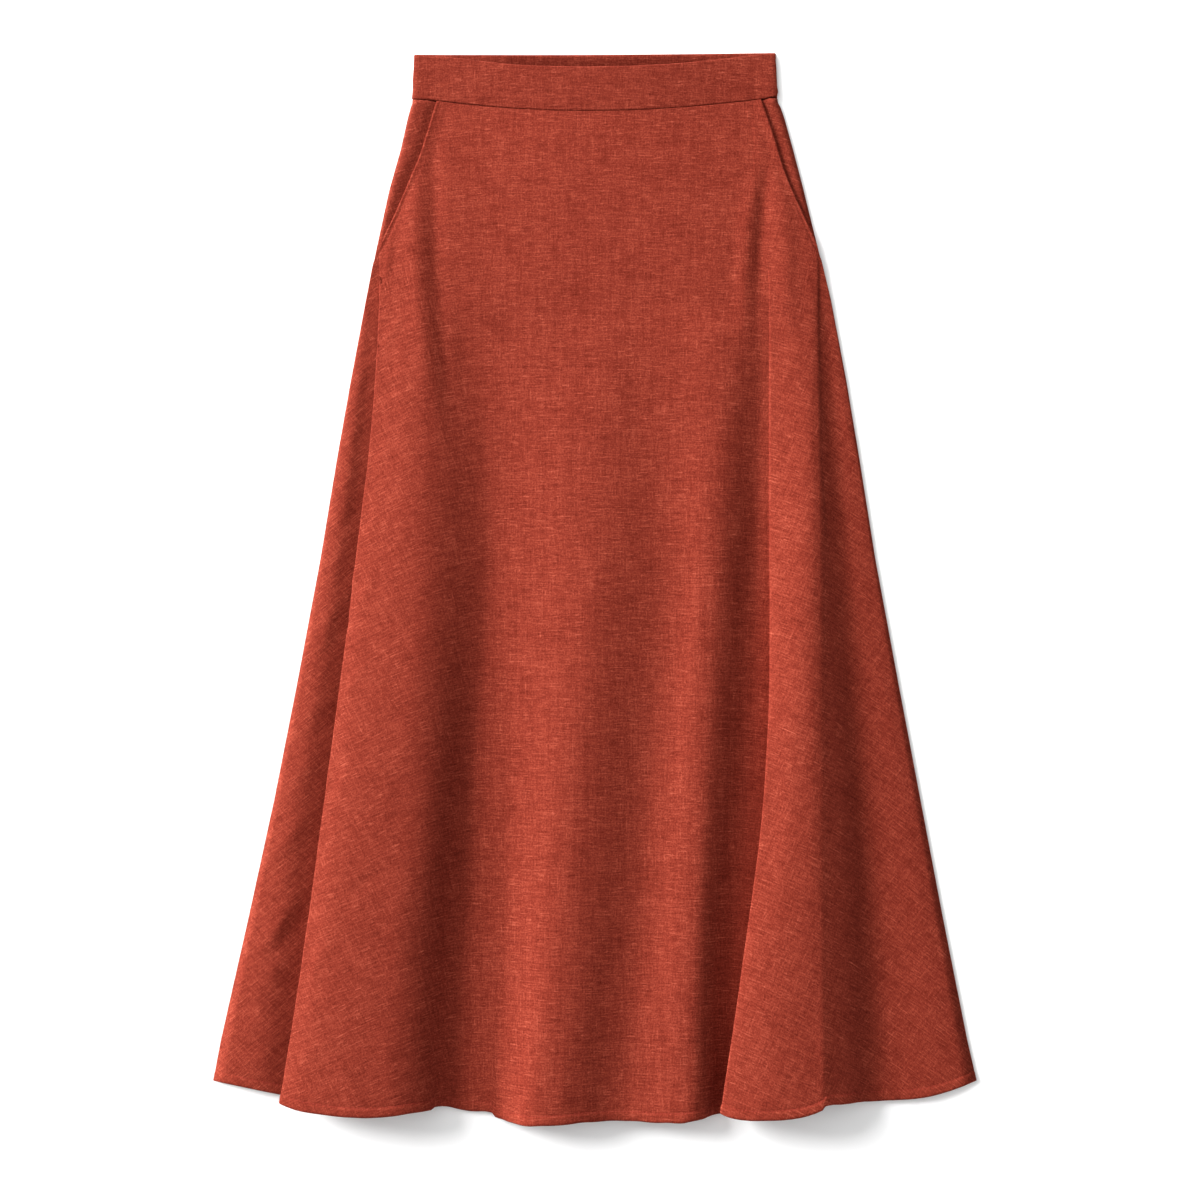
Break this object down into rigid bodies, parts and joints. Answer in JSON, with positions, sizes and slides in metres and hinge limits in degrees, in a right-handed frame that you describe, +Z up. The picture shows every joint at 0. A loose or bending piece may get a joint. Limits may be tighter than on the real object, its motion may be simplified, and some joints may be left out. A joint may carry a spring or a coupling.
{
  "type": "maxi skirt, laid flat",
  "caption": "A-line maxi skirt laid flat: shaped waistband, slant front pockets, soft flutes and a narrow turned hem.",
  "frame": {"origin": "middle of the skirt's footprint, on the surface that it lies on", "axes": "+Y along the length towards the waistband, +Z up from the surface through the front of the skirt, +X to the right seen from above with the waistband at the top (the wearer's left side)"},
  "size_m": [0.7392, 1.0323, 0.0355],
  "materials": {
    "linen": "slubby plain-weave linen, garment washed, matt, terracotta",
    "waistband_linen": "the same linen in two pressed layers, matt, terracotta",
    "pocket_cloth": "thin plain cotton, matt, dyed to match",
    "thread": "matt sewing thread, dyed to match"
  },
  "bodies": {
    "root": {"back_panel": "linen", "front_panel": "linen", "waistband_back": "waistband_linen", "waistband_front": "waistband_linen", "pocket_facing_left": "linen", "pocket_facing_right": "linen", "pocket_bag_left": "pocket_cloth", "pocket_bag_right": "pocket_cloth"}
  },
  "joints": []
}
